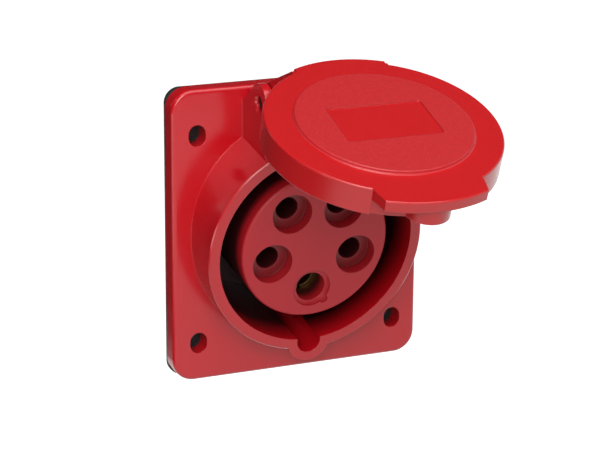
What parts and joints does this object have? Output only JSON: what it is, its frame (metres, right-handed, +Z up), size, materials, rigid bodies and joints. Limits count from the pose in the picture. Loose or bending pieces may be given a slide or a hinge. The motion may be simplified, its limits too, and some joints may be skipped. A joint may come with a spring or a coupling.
{
  "type": "panel socket",
  "caption": "Red angled industrial panel socket with a flange, an open hinged lid and screw terminals behind the panel.",
  "frame": {"origin": "centre of the four fixing slots, on the panel face (the gasket's back)", "axes": "+X to the right seen from the front, +Y into the panel, +Z up; the socket faces -Y and tilts 10 degrees down"},
  "size_m": [0.075, 0.1396, 0.095],
  "materials": {
    "red_shell": "gloss",
    "red_insert": "matt",
    "grey_insert": "matt",
    "black_rubber": "matt",
    "brass": "satin",
    "steel": "satin"
  },
  "bodies": {
    "socket": {"housing": "red_shell", "flange_gasket": "black_rubber", "contact_carrier": "red_insert", "carrier_seal": "black_rubber", "contact_l1": "brass", "contact_l2": "brass", "contact_l3": "brass", "contact_n": "brass", "contact_earth": "brass", "phase_spring_rings": "steel", "earth_spring_ring": "steel", "terminal_block": "grey_insert", "terminal_screws": "steel", "earth_screw": "steel", "block_screws": "steel", "hinge_pin": "steel"},
    "lid": {"lid": "red_shell", "lid_gasket": "black_rubber"}
  },
  "joints": [
    {"name": "lid_hinge", "type": "hinge", "parent": "socket", "child": "lid", "pos_m": [0, -0.01843, 0.04034], "axis": [-1, 0, 0], "range_deg": [-81, 28.8]}
  ]
}
